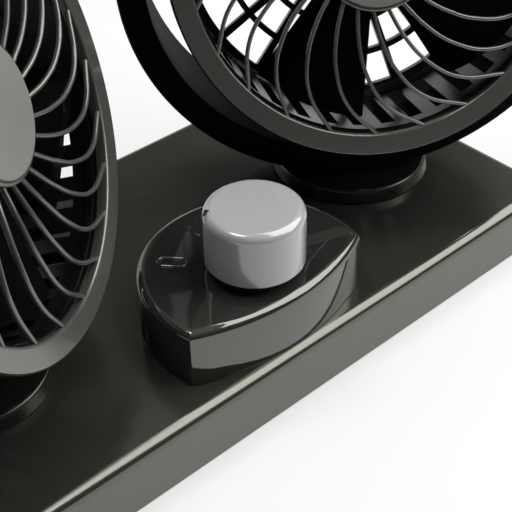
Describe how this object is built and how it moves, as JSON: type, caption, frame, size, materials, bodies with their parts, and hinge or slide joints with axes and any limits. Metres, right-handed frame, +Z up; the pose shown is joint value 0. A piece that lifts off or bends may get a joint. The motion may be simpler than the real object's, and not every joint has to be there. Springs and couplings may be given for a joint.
{
  "type": "dual head car fan",
  "caption": "Dual head car fan: caged fan heads that tilt in U-shaped yokes on swivelling turntables, on a long flat base with a speed knob on a rounded switch housing.",
  "frame": {"origin": "middle of the resting plane, under the centre of the base, on the adhesive pads' underside", "axes": "+X along the base, to the right as seen from the front; -Y is the front with the knob; +Z up"},
  "size_m": [0.2739, 0.1107, 0.1561],
  "materials": {
    "black_gloss": "polished",
    "black_base": "semi gloss",
    "black_satin": "satin",
    "grey_gloss": "gloss",
    "grey_satin": "satin",
    "steel": "plain",
    "motor_steel": "plated",
    "dark_nylon": "matt",
    "black_rubber": "matt",
    "foam_tape": "foam"
  },
  "bodies": {
    "base": {"base_cover": "black_base", "base_plate": "black_satin", "base_screws": "steel", "adhesive_pads": "foam_tape", "cord_inlet": "black_rubber", "switch_housing": "black_gloss", "housing_screws": "steel", "rotary_switch": "dark_nylon", "switch_nut": "steel"},
    "dial": {"switch_stem": "steel", "knob": "grey_gloss"},
    "left_swivel": {"left_turntable": "black_gloss", "left_retainer": "dark_nylon", "left_swivel_screws": "steel", "left_yoke": "black_gloss", "left_pivot_screws": "steel", "left_pivot_washers": "dark_nylon"},
    "left_head": {"left_drum": "black_gloss", "left_rear_guard": "black_gloss", "left_front_grille": "black_satin", "left_badge": "grey_satin", "left_motor": "motor_steel", "left_motor_endcap": "dark_nylon", "left_motor_screws": "steel"},
    "left_fan": {"left_motor_shaft": "steel", "left_impeller": "black_satin"},
    "right_swivel": {"right_turntable": "black_gloss", "right_retainer": "dark_nylon", "right_swivel_screws": "steel", "right_yoke": "black_gloss", "right_pivot_screws": "steel", "right_pivot_washers": "dark_nylon"},
    "right_head": {"right_drum": "black_gloss", "right_rear_guard": "black_gloss", "right_front_grille": "black_satin", "right_badge": "grey_satin", "right_motor": "motor_steel", "right_motor_endcap": "dark_nylon", "right_motor_screws": "steel"},
    "right_fan": {"right_motor_shaft": "steel", "right_impeller": "black_satin"}
  },
  "joints": [
    {"name": "knob_turn", "type": "hinge", "parent": "base", "child": "dial", "pos_m": [0, -0.0345, 0.0473], "axis": [0, 0, 1], "range_deg": [-90, 0]},
    {"name": "left_swivel_turn", "type": "hinge", "parent": "base", "child": "left_swivel", "pos_m": [-0.07213, 0.0001, 0.0273], "axis": [0, 0, 1], "range_deg": [-208, 132]},
    {"name": "left_tilt", "type": "hinge", "parent": "left_swivel", "child": "left_head", "pos_m": [-0.07213, 0.0001, 0.0948], "axis": [0.788, 0.6157, 0], "range_deg": [-72.5, 107.5]},
    {"name": "left_fan_spin", "type": "hinge", "parent": "left_head", "child": "left_fan", "pos_m": [-0.07213, 0.0001, 0.0948], "axis": [0.5872, -0.7515, 0.3007], "continuous": true},
    {"name": "right_swivel_turn", "type": "hinge", "parent": "base", "child": "right_swivel", "pos_m": [0.07213, 0.0001, 0.0273], "axis": [0, 0, 1], "range_deg": [-136.5, 203.5]},
    {"name": "right_tilt", "type": "hinge", "parent": "right_swivel", "child": "right_head", "pos_m": [0.07213, 0.0001, 0.0948], "axis": [0.8339, -0.5519, 0], "range_deg": [-72.5, 107.5]},
    {"name": "right_fan_spin", "type": "hinge", "parent": "right_head", "child": "right_fan", "pos_m": [0.07213, 0.0001, 0.0948], "axis": [-0.5264, -0.7953, 0.3007], "continuous": true}
  ]
}
